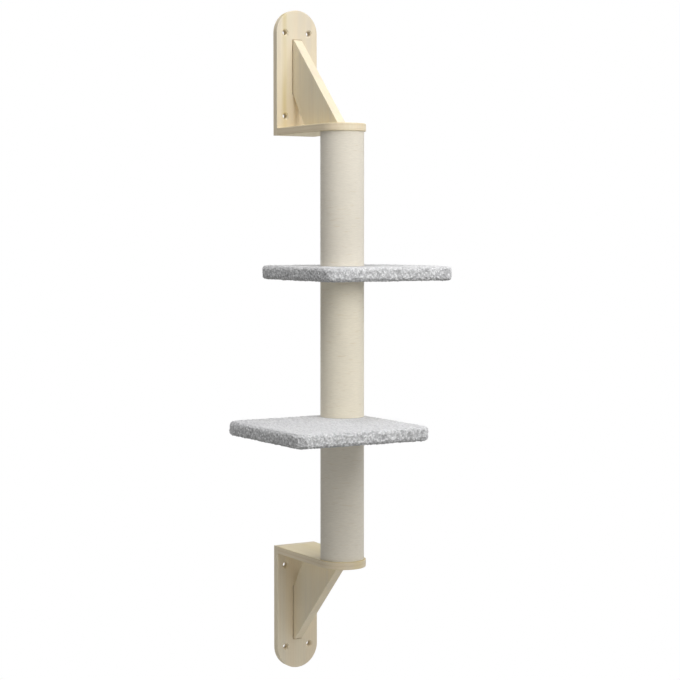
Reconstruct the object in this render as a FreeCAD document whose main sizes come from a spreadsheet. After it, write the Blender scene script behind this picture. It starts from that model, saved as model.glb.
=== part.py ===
import FreeCAD
import Part
import Sketcher
import os
import re

# A cat tree that hangs on a wall: two wooden brackets hold a post between them, and two plush platforms
# sit between the post's three sections. Studs draw the sections, the platforms and the brackets together.
# Millimetres, +Z up. The wall is the plane y = 0 and the tree stands out of it along -Y.
# The origin is the middle of the upper wall plate's four holes, on the wall.

SIZES = [
    # The brackets, the same above and below.
    ("plate_width", 75, "width of the wall plate and the shelf"),
    ("plate_length", 205, "height of a wall plate, over its round end"),
    ("board_thick", 12, "thickness of the wall plate and the shelf"),
    ("hole_span_across", 44, "between the wall holes, across the plate"),
    ("hole_span_up", 136, "between the wall holes, along the plate"),
    ("hole_end_gap", 32, "from the plate's flat end to the first wall holes"),
    ("wall_hole", 8, "diameter of a wall hole"),
    ("wall_hole_sink", 12.5, "diameter of its countersink"),
    ("edge_easing", 1.2, "rounding of the boards' visible edges"),
    ("gusset_thick", 15, "thickness of the strut"),
    ("gusset_leg", 144, "length of the strut along the plate and along the shelf"),
    ("gusset_tip", 3, "blunt end of the strut"),
    ("clip_along_shelf", 40, "strut's inner corner, cut off along the shelf"),
    ("clip_along_plate", 57, "strut's inner corner, cut off along the plate"),
    ("housing_depth", 3, "how deep the strut's foot is let into the plate"),
    ("dowel", 6, "diameter of a dowel"),
    ("dowel_length", 22, "length of a dowel"),
    ("dowel_in_shelf", 8, "how deep a dowel sits in the shelf"),
    ("first_dowel", 78, "from the wall to the first dowel"),
    ("second_dowel", 116, "from the wall to the second dowel"),
    ("screw", 4, "diameter of a bracket screw"),
    ("screw_head", 8, "diameter of its head"),
    ("screw_length", 40, "length of a bracket screw"),
    ("screw_tip", 5, "length of its point"),
    ("screw_end", 0.5, "diameter of the point's end"),
    ("recess_width", 1, "width of a bar of the cross in its head"),
    ("recess_length", 4.4, "length of a bar of the cross in its head"),
    ("recess_depth", 1.6, "depth of the cross in its head"),
    ("low_strut_screw", 88, "from the plate's flat end to the strut's first screw"),
    ("high_strut_screw", 122, "from the plate's flat end to the strut's second screw"),
    # The post and what holds it together.
    ("post_reach", 158.5, "from the wall to the post's axis"),
    ("post_diameter", 69, "outside of the sisal cloth"),
    ("sleeve_thick", 2, "thickness of the sisal cloth"),
    ("tube_wall", 4.5, "wall of the paperboard tube"),
    ("top_post_length", 211.5, "length of the top post section"),
    ("middle_post_length", 214, "length of the middle post section"),
    ("bottom_post_length", 202.5, "length of the bottom post section"),
    ("plug_thick", 20, "thickness of an end plug"),
    ("stud", 8, "diameter of a stud"),
    ("stud_past", 3, "how far a stud stands past a plug"),
    ("stud_chamfer", 0.8, "chamfer on a stud's ends"),
    ("barrel", 10, "diameter of a tee nut's barrel"),
    ("barrel_length", 9, "length of a tee nut's barrel"),
    ("flange", 20, "diameter of a tee nut's flange"),
    ("flange_thick", 1.5, "thickness of a tee nut's flange"),
    # The platforms.
    ("platform_width", 230, "side of a platform along the wall"),
    ("platform_depth", 232, "side of a platform away from the wall"),
    ("corner_radius", 15, "round corner of a platform, seen from above"),
    ("edge_radius", 7, "round edge of a platform, seen from the side"),
    ("deck_thick", 15.5, "thickness of a platform's board"),
    ("pile_thick", 3.8, "thickness of the plush"),
    ("hem_width", 28, "how far the plush is turned under"),
    ("upper_left_reach", 67.5, "from the post's axis to the upper platform's left side"),
    ("upper_front_reach", 78, "from the post's axis to the upper platform's front"),
    ("lower_left_reach", 184.5, "from the post's axis to the lower platform's left side"),
    ("lower_front_reach", 190, "from the post's axis to the lower platform's front"),
    ("staple_crown", 10, "width of a staple"),
    ("staple_wire", 1.2, "width of a staple's wire"),
    ("staple_thick", 0.6, "thickness of a staple's wire"),
    ("staple_leg", 9, "length of a staple's legs"),
    ("staple_sunk", 1.2, "how deep a staple's crown is drawn into the plush"),
    ("staple_inset", 14, "from the platform's side to its staples"),
    ("staple_corner_gap", 32, "from a platform's corner to its first staple"),
    ("staples_a_side", 4, "staples along one side of a platform"),
    # Clearances.
    ("swivel_gap", 0.2, "between a platform's plush and a post section's end"),
    ("running_gap", 0.08, "between a stud and the platform board that turns on it, all round"),
    ("seat_gap", 0.05, "between pieces that are glued, screwed or pressed into each other, all round"),
    ("panel_gap", 0.6, "between the underside panel and the turned edge, all round"),
    ("housing_gap", 1.4, "between the strut's foot and the sides of its housing"),
]
ALIASES = {alias for alias, number, meaning in SIZES}

# Levels, from the upper bracket's flat end down to the lower bracket's.
PLATFORM_THICK = "(deck_thick + 2 * pile_thick)"
DECK_SPACE = f"({PLATFORM_THICK} + 2 * swivel_gap)"
UPPER_FLAT_END = "(-hole_end_gap - hole_span_up / 2)"
UPPER_DECK_TOP = f"({UPPER_FLAT_END} - top_post_length)"
UPPER_DECK_FOOT = f"({UPPER_DECK_TOP} - {DECK_SPACE})"
LOWER_DECK_TOP = f"({UPPER_DECK_FOOT} - middle_post_length)"
LOWER_DECK_FOOT = f"({LOWER_DECK_TOP} - {DECK_SPACE})"
LOWER_FLAT_END = f"({LOWER_DECK_FOOT} - bottom_post_length)"

TUBE_RADIUS = "(post_diameter / 2 - sleeve_thick - seat_gap)"
BORE_RADIUS = f"({TUBE_RADIUS} - tube_wall)"
FLANGE_SEAT = "(board_thick - flange_thick - seat_gap)"
HOUSING_FLOOR = "(board_thick - housing_depth)"

os.makedirs("parts", exist_ok=True)
document = FreeCAD.newDocument("wall_cat_tree")
sheet = document.addObject("Spreadsheet::Sheet", "Sizes")
for row, (alias, number, meaning) in enumerate(SIZES, 1):
    sheet.set(f"A{row}", meaning)
    sheet.set(f"B{row}", str(number))
    sheet.setAlias(f"B{row}", alias)
document.recompute()

nodes = []


def cells(formula):
    """The formula with each named size turned into its cell of the sheet."""
    return re.sub(r"[a-z_]+", lambda word: "Sizes." + word[0] if word[0] in ALIASES else word[0], formula)


def value(formula):
    return float(sheet.evalExpression(cells(formula)))


def bind(thing, **sizes):
    for name, formula in sizes.items():
        thing.setExpression(name, cells(formula))


def node(thing, label):
    """Names a finished sub-part and keeps it for the export."""
    thing.Label = label
    nodes.append(thing)
    return thing


def place(thing, x="0", y="0", z="0", axis=(0, 1, 0), degrees=0):
    """Moves a piece, after a turn about an axis through its own origin."""
    thing.Placement = FreeCAD.Placement(FreeCAD.Vector(), FreeCAD.Rotation(FreeCAD.Vector(*axis), degrees))
    for letter, formula in (("x", x), ("y", y), ("z", z)):
        thing.setExpression(f"Placement.Base.{letter}", cells(formula))
    return thing


# Sketches and features of a body.


def new_body(name):
    return document.addObject("PartDesign::Body", name)


def sketch_on(body, role, lift="0"):
    """A sketch on one of the body's origin planes, lifted along the plane's normal."""
    sketch = body.newObject("Sketcher::SketchObject", "Sketch")
    plane = next(feature for feature in body.Origin.OriginFeatures if feature.Role == role)
    sketch.AttachmentSupport = [(plane, "")]
    sketch.MapMode = "FlatFace"
    sketch.setExpression("AttachmentOffset.Base.z", cells(lift))
    return sketch


def tie(sketch, kind, shape, spot, formula):
    """Ties a point of the sketch to a formula, measured from the sketch's origin along one axis."""
    number = sketch.addConstraint(Sketcher.Constraint(kind, -1, 1, shape, spot, value(formula)))
    sketch.setExpression(f"Constraints[{number}]", cells(formula))


def fix_point(sketch, shape, spot, x, y):
    tie(sketch, "DistanceX", shape, spot, x)
    tie(sketch, "DistanceY", shape, spot, y)


def outline(sketch, corners):
    """A closed outline, counter-clockwise. A corner is x, y, and for an arc to the next corner its centre."""
    points = [FreeCAD.Vector(value(corner[0]), value(corner[1]), 0) for corner in corners]
    for place_in_turn, corner in enumerate(corners):
        start = points[place_in_turn]
        end = points[(place_in_turn + 1) % len(points)]
        if len(corner) == 2:
            sketch.addGeometry(Part.LineSegment(start, end))
            continue
        centre = FreeCAD.Vector(value(corner[2]), value(corner[3]), 0)
        circle = Part.Circle(centre, FreeCAD.Vector(0, 0, 1), start.distanceToPoint(centre))
        sketch.addGeometry(Part.ArcOfCircle(circle, circle.parameter(start), circle.parameter(end)))
    for shape, corner in enumerate(corners):
        sketch.addConstraint(Sketcher.Constraint("Coincident", shape, 2, (shape + 1) % len(corners), 1))
        fix_point(sketch, shape, 1, corner[0], corner[1])
        if len(corner) == 4:
            tie(sketch, "DistanceY", shape, 3, corner[3])
    return sketch


def circles(sketch, radius, *centres):
    for x, y in centres:
        centre = FreeCAD.Vector(value(x), value(y), 0)
        shape = sketch.addGeometry(Part.Circle(centre, FreeCAD.Vector(0, 0, 1), value(radius)))
        number = sketch.addConstraint(Sketcher.Constraint("Radius", shape, value(radius)))
        sketch.setExpression(f"Constraints[{number}]", cells(radius))
        fix_point(sketch, shape, 3, x, y)
    return sketch


def pad(body, sketch, length):
    sketch.recompute()
    feature = body.newObject("PartDesign::Pad", "Pad")
    feature.Profile = sketch
    bind(feature, Length=length)
    feature.recompute()
    return feature


def finish_cut(feature, base):
    feature.recompute()
    if feature.Shape.Volume > base.Shape.Volume - 0.01:
        raise ValueError(f"{feature.Name} took nothing away from {base.Name}")
    return feature


def pocket(body, sketch, depth, along_normal=False):
    """A cut to the given depth, against the sketch's normal or along it."""
    sketch.recompute()
    base = body.Tip
    feature = body.newObject("PartDesign::Pocket", "Pocket")
    feature.Profile = sketch
    feature.Reversed = along_normal
    bind(feature, Length=depth)
    return finish_cut(feature, base)


def sunk_holes(body, sketch, diameter, sink, along_normal=False):
    """Through holes with a 90 degree countersink at the sketch."""
    sketch.recompute()
    base = body.Tip
    feature = body.newObject("PartDesign::Hole", "Hole")
    feature.Profile = sketch
    feature.recompute()
    feature.Reversed = along_normal
    feature.DepthType = "ThroughAll"
    feature.HoleCutType = "Countersink"
    feature.HoleCutCustomValues = True
    feature.HoleCutCountersinkAngle = 90
    bind(feature, Diameter=diameter, HoleCutDiameter=sink)
    return finish_cut(feature, base)


def dress_edges(body, kind, chosen, **sizes):
    """A fillet or a chamfer on the edges of the body that the test chooses."""
    base = body.Tip
    names = [f"Edge{number}" for number, edge in enumerate(base.Shape.Edges, 1) if chosen(edge.BoundBox)]
    feature = body.newObject("PartDesign::" + kind, kind)
    feature.Base = (base, names)
    bind(feature, **sizes)
    feature.recompute()
    return feature


def near(a, b):
    return abs(a - b) < 0.01


# The bracket's own frame: the wall is y = 0, and z runs from the plates' flat end to their round end.


def wall_plate(label):
    body = new_body(label)
    half, top = "plate_width / 2", "plate_length - plate_width / 2"
    flat = [("-plate_width / 2", "0"), (half, "0"), (half, top, "0", top), ("-plate_width / 2", top)]
    pad(body, outline(sketch_on(body, "XZ_Plane"), flat), "board_thick")
    across, low, high = "hole_span_across / 2", "hole_end_gap", "hole_end_gap + hole_span_up"
    corners = [(side + across, level) for side in ("-", "") for level in (low, high)]
    front = sketch_on(body, "XZ_Plane", "board_thick")
    sunk_holes(body, circles(front, "wall_hole / 2", *corners), "wall_hole", "wall_hole_sink")
    back = circles(sketch_on(body, "XZ_Plane"), "screw / 2", *screw_places())
    sunk_holes(body, back, "screw + 2 * seat_gap", "screw_head + 4 * seat_gap", along_normal=True)
    level, widest_hole = -value("board_thick"), value("wall_hole_sink + edge_easing")
    dress_edges(
        body,
        "Fillet",
        lambda box: near(box.YMin, level) and near(box.YMax, level) and box.ZLength > widest_hole,
        Radius="edge_easing",
    )
    pocket(body, housing(sketch_on(body, "XZ_Plane", "board_thick")), "housing_depth")
    return node(body, label)


def housing(sketch):
    """The outline of the shallow housing that takes the strut's foot."""
    left, right = "-gusset_thick / 2 - housing_gap", "gusset_thick / 2 + housing_gap"
    low = "board_thick + clip_along_plate - housing_gap"
    high = "board_thick + gusset_leg + housing_gap"
    return outline(sketch, [(left, low), (right, low), (right, high), (left, high)])


def screw_places():
    """Where the screws go into the shelf's end, left and right, and into the strut, low and high."""
    across, middle = "hole_span_across / 2", "board_thick / 2"
    return [("-" + across, middle), (across, middle), ("0", "low_strut_screw"), ("0", "high_strut_screw")]


def shelf(label):
    body = new_body(label)
    left, right, centre = "-plate_width / 2", "plate_width / 2", "-post_reach"
    flat = [(right, "-board_thick"), (left, "-board_thick"), (left, centre, "0", centre), (right, centre)]
    pad(body, outline(sketch_on(body, "XY_Plane"), flat), "board_thick")
    through = circles(sketch_on(body, "XY_Plane"), "barrel / 2 + seat_gap", ("0", centre))
    pocket(body, through, "board_thick", along_normal=True)
    top = sketch_on(body, "XY_Plane", "board_thick")
    pocket(body, circles(top, "flange / 2 + seat_gap", ("0", centre)), f"board_thick - {FLANGE_SEAT}")
    dowels = circles(sketch_on(body, "XY_Plane", "board_thick"), "dowel / 2 + seat_gap", *dowel_places())
    pocket(body, dowels, "dowel_in_shelf")
    end = circles(sketch_on(body, "XZ_Plane", "board_thick"), "screw / 2 + seat_gap", *screw_places()[:2])
    pocket(body, end, "screw_length - board_thick", along_normal=True)
    widest_hole = value("flange + 2 * edge_easing")
    dress_edges(
        body,
        "Fillet",
        lambda box: near(box.ZLength, 0) and box.YLength > widest_hole,
        Radius="edge_easing",
    )
    return node(body, label)


def dowel_places():
    return [("0", "-first_dowel"), ("0", "-second_dowel")]


def gusset(label):
    body = new_body(label)
    wall, seat, foot = "-board_thick", "board_thick", f"-{HOUSING_FLOOR}"
    flat = [
        (wall, f"{seat} + clip_along_plate"),
        (foot, f"{seat} + clip_along_plate"),
        (foot, f"{seat} + gusset_leg"),
        (f"{wall} - gusset_tip", f"{seat} + gusset_leg"),
        (f"{wall} - gusset_leg", f"{seat} + gusset_tip"),
        (f"{wall} - gusset_leg", seat),
        (f"{wall} - clip_along_shelf", seat),
    ]
    pad(body, outline(sketch_on(body, "YZ_Plane", "-gusset_thick / 2"), flat), "gusset_thick")
    dowels = circles(sketch_on(body, "XY_Plane", seat), "dowel / 2 + seat_gap", *dowel_places())
    pocket(body, dowels, "dowel_length - dowel_in_shelf + seat_gap", along_normal=True)
    back = sketch_on(body, "XZ_Plane", HOUSING_FLOOR)
    circles(back, "screw / 2 + seat_gap", *screw_places()[2:])
    pocket(body, back, f"screw_length - {HOUSING_FLOOR}", along_normal=True)
    clip = value("clip_along_plate")
    dress_edges(
        body,
        "Fillet",
        lambda box: box.YLength > clip and box.ZLength > clip,
        Radius="edge_easing",
    )
    return node(body, label)


def screw_master():
    """A countersunk wood screw with its head's top at the origin, pointing down."""
    head = document.addObject("Part::Cone", "Head")
    bind(head, Radius1="screw / 2", Radius2="screw_head / 2", Height="(screw_head - screw) / 2")
    place(head, z="-(screw_head - screw) / 2")
    shank = document.addObject("Part::Cylinder", "Shank")
    bind(shank, Radius="screw / 2", Height="screw_length - screw_tip - (screw_head - screw) / 2")
    place(shank, z="screw_tip - screw_length")
    point = document.addObject("Part::Cone", "Point")
    bind(point, Radius1="screw_end / 2", Radius2="screw / 2", Height="screw_tip")
    place(point, z="-screw_length")
    solid = document.addObject("Part::MultiFuse", "Screw")
    solid.Shapes = [head, shank, point]
    bars = []
    for length, width in (("recess_length", "recess_width"), ("recess_width", "recess_length")):
        bar = document.addObject("Part::Box", "Bar")
        bind(bar, Length=length, Width=width, Height="recess_depth")
        bars.append(place(bar, f"-{length} / 2", f"-{width} / 2", "-recess_depth"))
    cross = document.addObject("Part::MultiFuse", "Cross")
    cross.Shapes = bars
    cut = document.addObject("Part::Cut", "RecessedScrew")
    cut.Base, cut.Tool = solid, cross
    return cut


def tee_nut_master():
    """A tee nut with its flange's underside on z = 0 and its barrel pointing down."""
    plate = document.addObject("Part::Cylinder", "Flange")
    bind(plate, Radius="flange / 2", Height="flange_thick")
    barrel = document.addObject("Part::Cylinder", "Barrel")
    bind(barrel, Radius="barrel / 2", Height="barrel_length")
    place(barrel, z="-barrel_length")
    solid = document.addObject("Part::MultiFuse", "NutBlank")
    solid.Shapes = [plate, barrel]
    bore = document.addObject("Part::Cylinder", "Bore")
    bind(bore, Radius="stud / 2 + seat_gap", Height="barrel_length + flange_thick")
    place(bore, z="-barrel_length")
    cut = document.addObject("Part::Cut", "TeeNut")
    cut.Base, cut.Tool = solid, bore
    return cut


def copy_of(master, **where):
    link = document.addObject("App::Link", master.Name + "Copy")
    link.LinkedObject = master
    return place(link, **where)


def group(label, members):
    compound = document.addObject("Part::Compound", label)
    compound.Links = members
    return node(compound, label)


def bracket_screws(label):
    """The four screws, driven from the plate's back, their heads just under the surface."""
    down_to_front = {"axis": (1, 0, 0), "degrees": -90}
    copies = [copy_of(screw, x=x, y="-seat_gap", z=z, **down_to_front) for x, z in screw_places()]
    return group(label, copies)


def gusset_dowels(label):
    dowels = []
    for x, y in dowel_places():
        dowel = document.addObject("Part::Cylinder", "Dowel")
        bind(dowel, Radius="dowel / 2", Height="dowel_length")
        dowels.append(place(dowel, x, y, "board_thick - dowel_in_shelf"))
    return group(label, dowels)


def stud(label, foot, length):
    """A stud along the post's axis, from its foot up."""
    body = new_body(label)
    pad(body, circles(sketch_on(body, "XY_Plane", foot), "stud / 2", ("0", "0")), length)
    dress_edges(body, "Chamfer", lambda box: near(box.ZLength, 0), Size="stud_chamfer")
    return node(body, label)


def bracket(prefix, level, turn):
    """A bracket at its flat end's level: turned by 180 degrees about Y, it hangs down."""
    reach = "(plug_thick + stud_past)"
    nut = copy_of(tee_nut, y="-post_reach", z=FLANGE_SEAT)
    in_own_frame = [
        wall_plate(prefix + "_wall_plate"),
        shelf(prefix + "_shelf"),
        gusset(prefix + "_gusset"),
        bracket_screws(prefix + "_bracket_screws"),
        gusset_dowels(prefix + "_gusset_dowels"),
        group(prefix + "_shelf_tee_nut", [nut]),
    ]
    for piece in in_own_frame:
        place(piece, z=level, degrees=turn)
    rod = stud(prefix + "_shelf_stud", f"-{reach}", f"{reach} + {FLANGE_SEAT} + flange_thick")
    place(rod, y="-post_reach", z=level, degrees=turn)


# A post section's own frame: its axis is Z, and it hangs down from z = 0.


def ring(label, outer, inner, length):
    body = new_body(label)
    walls = circles(sketch_on(body, "XY_Plane", f"-{length}"), outer, ("0", "0"))
    pad(body, circles(walls, inner, ("0", "0")), length)
    return node(body, label)


def plug(label):
    """An end plug that stands on its outer face, drilled for the stud and, from inside, for the tee nut."""
    body = new_body(label)
    disc = circles(sketch_on(body, "XY_Plane"), f"{BORE_RADIUS} - seat_gap", ("0", "0"))
    pad(body, disc, "plug_thick")
    hole = circles(sketch_on(body, "XY_Plane"), "stud / 2 + seat_gap", ("0", "0"))
    pocket(body, hole, "plug_thick", along_normal=True)
    seat = circles(sketch_on(body, "XY_Plane", "plug_thick"), "barrel / 2 + seat_gap", ("0", "0"))
    pocket(body, seat, "barrel_length + seat_gap")
    return node(body, label)


def post_section(prefix, level, length):
    on_axis = {"y": "-post_reach"}
    foot = f"{level} - {length}"
    sleeve = ring(prefix + "_post_sleeve", "post_diameter / 2", f"{TUBE_RADIUS} + seat_gap", length)
    tube = ring(prefix + "_post_tube", TUBE_RADIUS, BORE_RADIUS, length)
    for piece in (sleeve, tube):
        place(piece, z=level, **on_axis)
    place(plug(prefix + "_post_upper_plug"), z=level, degrees=180, **on_axis)
    place(plug(prefix + "_post_lower_plug"), z=foot, **on_axis)
    nuts = [
        copy_of(tee_nut, z="-plug_thick", degrees=180),
        copy_of(tee_nut, z=f"plug_thick - {length}"),
    ]
    place(group(prefix + "_post_tee_nuts", nuts), z=level, **on_axis)


# A platform's own frame: the post's axis is Z, and the platform stands on z = 0.


def slab(name, left, front, inset, radius, foot, thickness):
    """A board with round corners, set in from the platform's sides, which lie left and front of the axis."""
    body = new_body(name)
    west, east = f"{inset} - {left}", f"platform_width - {left} - {inset}"
    south, north = f"{inset} - {front}", f"platform_depth - {front} - {inset}"
    near_west, near_east = f"{west} + {radius}", f"{east} - {radius}"
    near_south, near_north = f"{south} + {radius}", f"{north} - {radius}"
    flat = [
        (near_west, south),
        (near_east, south, near_east, near_south),
        (east, near_south),
        (east, near_north, near_east, near_north),
        (near_east, north),
        (near_west, north, near_west, near_north),
        (west, near_north),
        (west, near_south, near_west, near_south),
    ]
    pad(body, outline(sketch_on(body, "XY_Plane", foot), flat), thickness)
    return body


def stud_hole(body, gap):
    """A hole for the stud, through the whole platform."""
    round_stud = circles(sketch_on(body, "XY_Plane"), f"stud / 2 + {gap}", ("0", "0"))
    pocket(body, round_stud, PLATFORM_THICK, along_normal=True)


def staple_spots(left, front):
    """The middle of each staple and whether its crown runs along X, along the four sides in turn."""
    inset, gap = value("staple_inset"), value("staple_corner_gap")
    count = int(value("staples_a_side"))
    width, depth = value("platform_width"), value("platform_depth")
    spots = []
    for number in range(count):
        share = number / max(count - 1, 1)
        along_width = gap + share * (width - 2 * gap)
        along_depth = gap + share * (depth - 2 * gap)
        spots += [(along_width, inset, True), (along_width, depth - inset, True)]
        spots += [(inset, along_depth, False), (width - inset, along_depth, False)]
    return [(x - value(left), y - value(front), along_x) for x, y, along_x in spots]


def upright_box(x, y, half_x, half_y, foot, head):
    corner = FreeCAD.Vector(x - half_x, y - half_y, foot)
    return Part.makeBox(2 * half_x, 2 * half_y, head - foot, corner)


def staple(x, y, along_x, gap, crown_foot):
    """A staple with its legs up, grown by a gap, or the slot that it is driven through."""
    crown, wire = value("staple_crown") / 2, value("staple_wire") / 2
    thick, sunk = value("staple_thick"), value("staple_sunk")
    head = sunk + value("staple_leg") + gap
    long_side, short_side = crown + gap, wire + gap
    half_x, half_y = (long_side, short_side) if along_x else (short_side, long_side)
    shape = upright_box(x, y, half_x, half_y, crown_foot, sunk + thick + gap)
    leg = crown - thick / 2
    for side in (-leg, leg):
        leg_x, leg_y = (x + side, y) if along_x else (x, y + side)
        across = thick / 2 + gap
        half_x, half_y = (across, short_side) if along_x else (short_side, across)
        shape = shape.fuse(upright_box(leg_x, leg_y, half_x, half_y, crown_foot, head))
    return shape.removeSplitter()


def shape_object(name, shape):
    thing = document.addObject("Part::Feature", name)
    thing.Shape = shape
    return thing


def cut(name, base, *tools):
    """The base without the tools, one after the other."""
    for tool in tools:
        result = document.addObject("Part::Cut", name)
        result.Base, result.Tool = base, tool
        base = result
    return base


def platform(prefix, deck_foot, left, front):
    inner_radius = "(corner_radius - pile_thick)"
    name = prefix + "_platform_"
    spots = staple_spots(left, front)
    gap, sunk = value("seat_gap"), value("staple_sunk")
    staples = shape_object("Staples", Part.makeCompound([staple(*spot, 0, sunk) for spot in spots]))
    slots = shape_object("StapleSlots", Part.makeCompound([staple(*spot, gap, -sunk) for spot in spots]))

    deck = slab("Deck", left, front, "pile_thick", inner_radius, "pile_thick", "deck_thick")
    stud_hole(deck, "running_gap")
    board = cut("Board", deck, slots)

    plush = slab("Plush", left, front, "0", "corner_radius", "0", PLATFORM_THICK)
    level = value(PLATFORM_THICK)
    dress_edges(
        plush,
        "Fillet",
        lambda box: near(box.ZMin, level) or near(box.ZMax, 0),
        Radius="edge_radius",
    )
    stud_hole(plush, "running_gap")
    inside = slab("Inside", left, front, "pile_thick", inner_radius, "pile_thick", "deck_thick")
    window = slab("Window", left, front, "hem_width", "pile_thick", "-pile_thick", "2 * pile_thick")
    cover = cut("Cover", plush, inside, window, slots)

    inset = "(hem_width + panel_gap)"
    panel = slab("Panel", left, front, inset, "pile_thick", "0", "pile_thick")
    stud_hole(panel, "running_gap")

    pieces = [
        node(board, name + "board"),
        node(cover, name + "cover"),
        node(panel, name + "underside"),
        node(staples, name + "staples"),
    ]
    for piece in pieces:
        place(piece, y="-post_reach", z=f"{deck_foot} + swivel_gap")
    reach = "(plug_thick + stud_past)"
    rod = stud(name + "stud", f"-{reach}", f"{DECK_SPACE} + 2 * {reach}")
    place(rod, y="-post_reach", z=deck_foot)


screw = screw_master()
tee_nut = tee_nut_master()
bracket("upper", UPPER_FLAT_END, 0)
post_section("top", UPPER_FLAT_END, "top_post_length")
platform("upper", UPPER_DECK_FOOT, "upper_left_reach", "upper_front_reach")
post_section("middle", UPPER_DECK_FOOT, "middle_post_length")
platform("lower", LOWER_DECK_FOOT, "lower_left_reach", "lower_front_reach")
post_section("bottom", LOWER_DECK_FOOT, "bottom_post_length")
bracket("lower", LOWER_FLAT_END, 180)
document.recompute()

for thing in document.Objects:
    if "Invalid" in thing.State or "Error" in thing.State:
        raise ValueError(f"{thing.Name} ({thing.Label}) is {thing.State}")
for piece in nodes:
    if piece.Shape.isNull() or not piece.Shape.isValid() or not piece.Shape.Solids:
        raise ValueError(f"{piece.Label} has no valid solid")
for piece in nodes:
    piece.Shape.exportStep(f"parts/{piece.Label}.step")
whole = Part.makeCompound([piece.Shape for piece in nodes]).BoundBox
print(f"{len(nodes)} nodes, {whole.XLength:.1f} x {whole.YLength:.1f} x {whole.ZLength:.1f} mm")
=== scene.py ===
"""Wall mounted cat tree: its looks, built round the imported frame. Metres, +Z up, the wall at Y 0."""
import math

import bmesh
import bpy
import numpy as np
from bpy.props import FloatProperty, FloatVectorProperty, IntProperty, PointerProperty
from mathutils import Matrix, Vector


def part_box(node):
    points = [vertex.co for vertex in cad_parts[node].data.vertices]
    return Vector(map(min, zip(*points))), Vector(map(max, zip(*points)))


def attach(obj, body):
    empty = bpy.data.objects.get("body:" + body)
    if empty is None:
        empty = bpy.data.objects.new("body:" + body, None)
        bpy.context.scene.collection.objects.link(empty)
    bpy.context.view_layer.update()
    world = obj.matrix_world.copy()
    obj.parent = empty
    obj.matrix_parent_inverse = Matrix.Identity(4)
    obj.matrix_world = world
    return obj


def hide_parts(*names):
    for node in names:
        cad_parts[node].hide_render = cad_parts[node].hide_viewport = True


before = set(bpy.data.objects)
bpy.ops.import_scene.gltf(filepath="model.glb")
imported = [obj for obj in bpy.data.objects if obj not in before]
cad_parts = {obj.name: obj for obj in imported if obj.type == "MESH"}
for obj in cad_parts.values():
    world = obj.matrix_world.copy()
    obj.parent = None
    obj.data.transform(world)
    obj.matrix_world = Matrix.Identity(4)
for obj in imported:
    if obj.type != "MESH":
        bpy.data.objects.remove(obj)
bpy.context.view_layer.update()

bl_info = {
    "name": "Wall mounted cat tree",
    "version": (1, 0, 0),
    "blender": (4, 5, 0),
    "location": "3D View > Sidebar > Cat Tree",
    "description": "Builds the looks of a wall mounted cat tree round its frame",
    "category": "Object",
}

MM = 0.001
# Room between a cover and what it lies on, and between a hem and the panel beside it.
COVER_GAP = 0.05 * MM
HEM_GAP = 0.6 * MM
# Radius of the hole in the plush where a platform's stud goes through.
STUD_HOLE = 4.8 * MM
SECTIONS = ("top", "middle", "bottom")
PLATFORMS = ("upper", "lower")
BRACKETS = ("upper", "lower")


def tint(red, green, blue):
    """A screen colour of 0 to 255 a channel, as the linear colour that a shader takes."""
    shares = [channel / 255 for channel in (red, green, blue)]
    return tuple(s / 12.92 if s <= 0.04045 else ((s + 0.055) / 1.055) ** 2.4 for s in shares)


def colour_property(name, description, default):
    return FloatVectorProperty(
        name=name, description=description, default=default, subtype="COLOR", size=3, min=0, max=1
    )


def length_property(name, description, default):
    return FloatProperty(
        name=name, description=description, default=default, min=0, subtype="DISTANCE",
        unit="LENGTH", precision=5,
    )


def power_property(name, description, default):
    return FloatProperty(name=name, description=description, default=default, min=0)


# ---------------------------------------------------------------- settings


class WoodSettings(bpy.types.PropertyGroup):
    pale: colour_property("Pale wood", "Main tone of the bracket boards", tint(240, 229, 204))
    warm: colour_property("Warm bands", "Broad warmer bands along the grain", tint(236, 219, 190))
    cool: colour_property("Cool bands", "Broad greyer bands along the grain", tint(228, 218, 200))
    streak: colour_property("Streak", "Yellow streak along a board", tint(222, 205, 152))
    late: colour_property("Late wood", "Thin darker growth lines", tint(208, 186, 144))
    ring_spacing: length_property("Ring spacing", "Distance between growth lines", 0.0058)
    ply_layer: length_property("Layer", "Thickness of a layer seen on a board's edge", 0.006)
    # Width of the edges lightened for wear and as a painted highlight.
    wear_and_highlight_radius: length_property("Edge wear", "Width of the rubbed edges", 0.0016)


class ClothSettings(bpy.types.PropertyGroup):
    yarn: colour_property("Yarn", "Main tone of the sisal cloth", tint(243, 236, 220))
    # Painted shade: the cloth is toned down in the valleys between the courses.
    shade: colour_property("Shade", "Tone down between the courses", tint(228, 218, 199))
    straw: colour_property("Straw", "Stray darker fibres", tint(222, 206, 174))
    course_height: length_property("Course", "Height of one course of the weave", 0.0018)
    rib_depth: length_property("Rib depth", "How far a course stands out", 0.00012)
    stitch_depth: length_property("Stitch depth", "How far the lifted yarns stand out", 0.00008)
    seam_depth: length_property("Seam depth", "Depth of the butted seam", 0.0005)
    around: IntProperty(name="Around", description="Points round a section", default=160, min=16)


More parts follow.
